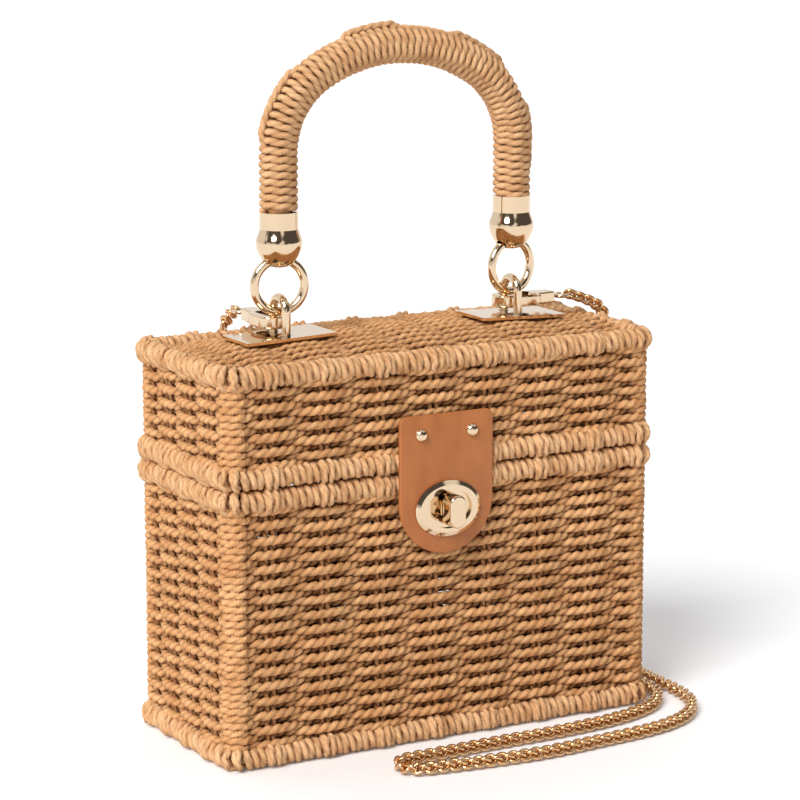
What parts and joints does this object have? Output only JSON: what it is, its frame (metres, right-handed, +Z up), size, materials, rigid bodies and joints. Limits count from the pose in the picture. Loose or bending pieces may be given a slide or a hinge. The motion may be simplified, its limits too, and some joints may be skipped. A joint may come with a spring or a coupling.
{
  "type": "basket box bag",
  "caption": "Woven straw box bag with a hinged lid, leather tab with turn lock, ring-hung wrapped handle and a chain shoulder strap.",
  "frame": {"origin": "centre of the box's base, on the floor", "axes": "+Z up, +X right seen from the front, the front with the lock faces -Y"},
  "size_m": [0.2193, 0.1531, 0.2879],
  "materials": {
    "straw_weave": "twisted cord weave, matte",
    "straw_cord": "twisted cord wrapping, matte",
    "frame_wire": "plain wire, hidden",
    "gold_metal": "polished pale gold plating",
    "hidden_metal": "plain plated",
    "gold_chain": "polished pale rose gold links",
    "leather": "smooth tan leather",
    "handle_rod": "plain rod, hidden"
  },
  "bodies": {
    "body": {"body_walls": "straw_weave", "body_base": "straw_weave", "body_frame": "frame_wire", "body_base_binding": "straw_cord", "body_rim_binding": "straw_cord", "hinge_tie_left": "straw_cord", "hinge_tie_right": "straw_cord", "lock_plate": "gold_metal", "lock_backing_plate": "hidden_metal", "chain_drop_right": "gold_chain", "chain_floor_front": "gold_chain", "chain_floor_rear": "gold_chain", "chain_drop_rear": "gold_chain"},
    "lid": {"lid_walls": "straw_weave", "lid_top": "straw_weave", "lid_frame": "frame_wire", "lid_rim_binding": "straw_cord", "lid_top_binding": "straw_cord", "tab_leather": "leather", "tab_eyelet": "gold_metal", "tab_eyelet_washer": "hidden_metal", "chain_lid_right": "gold_chain", "chain_lid_rear": "gold_chain", "tab_rivet_left": "gold_metal", "tab_rivet_cap_left": "hidden_metal", "handle_plate_left": "gold_metal", "handle_arch_left": "gold_metal", "handle_backing_left": "hidden_metal", "handle_nuts_left": "hidden_metal", "clasp_body_left": "gold_metal", "clasp_pin_left": "gold_metal", "tab_rivet_right": "gold_metal", "tab_rivet_cap_right": "hidden_metal", "handle_plate_right": "gold_metal", "handle_arch_right": "gold_metal", "handle_backing_right": "hidden_metal", "handle_nuts_right": "hidden_metal", "clasp_body_right": "gold_metal", "clasp_pin_right": "gold_metal"},
    "lock_knob": {"lock_knob": "gold_metal", "lock_knob_washer": "hidden_metal"},
    "ring_left": {"ring_left": "gold_metal"},
    "ring_right": {"ring_right": "gold_metal"},
    "handle": {"handle_cap_left": "gold_metal", "handle_cap_right": "gold_metal", "handle_core": "handle_rod", "handle_wrap": "straw_cord", "handle_lace": "straw_cord"},
    "gate_left": {"clasp_gate_left": "gold_metal"},
    "gate_right": {"clasp_gate_right": "gold_metal"},
    "swivel_left": {"clasp_swivel_left": "gold_metal"},
    "swivel_right": {"clasp_swivel_right": "gold_metal"}
  },
  "joints": [
    {"name": "lid_hinge", "type": "hinge", "parent": "body", "child": "lid", "pos_m": [0, 0.0388, 0.1166], "axis": [-1, 0, 0], "range_deg": [0, 100], "deforming": ["tab_leather", "chain_drop_rear"]},
    {"name": "knob_turn", "type": "hinge", "parent": "body", "child": "lock_knob", "pos_m": [-0.003, -0.05, 0.0971], "axis": [0, 1, 0], "range_deg": [0, 90]},
    {"name": "ring_left_swing", "type": "hinge", "parent": "lid", "child": "ring_left", "pos_m": [-0.054, 0, 0.1739], "axis": [1, 0, 0], "range_deg": [-58, 58]},
    {"name": "ring_right_swing", "type": "hinge", "parent": "lid", "child": "ring_right", "pos_m": [0.054, 0, 0.1739], "axis": [1, 0, 0], "range_deg": [-58, 58]},
    {"name": "handle_swing", "type": "hinge", "parent": "ring_left", "child": "handle", "pos_m": [-0.054, 0, 0.1949], "axis": [1, 0, 0], "range_deg": [-30, 30]},
    {"name": "gate_left_open", "type": "hinge", "parent": "lid", "child": "gate_left", "pos_m": [-0.0496, 0.0195, 0.16915], "axis": [0, 0, -1], "range_deg": [0, 30], "stiffness_Nm_per_rad": 0.002, "springref_deg": -20.05},
    {"name": "gate_right_open", "type": "hinge", "parent": "lid", "child": "gate_right", "pos_m": [0.0679, 0.0012, 0.16915], "axis": [0, 0, -1], "range_deg": [0, 30], "stiffness_Nm_per_rad": 0.002, "springref_deg": -20.05},
    {"name": "swivel_left_spin", "type": "hinge", "parent": "lid", "child": "swivel_left", "pos_m": [-0.054, 0.0287, 0.16915], "axis": [0, 1, 0], "continuous": true},
    {"name": "swivel_right_spin", "type": "hinge", "parent": "lid", "child": "swivel_right", "pos_m": [0.0771, 0.0056, 0.16915], "axis": [1, 0, 0], "continuous": true}
  ],
  "couplings": [
    {"joint": "ring_right_swing", "follows": "ring_left_swing", "ratio": 1}
  ]
}
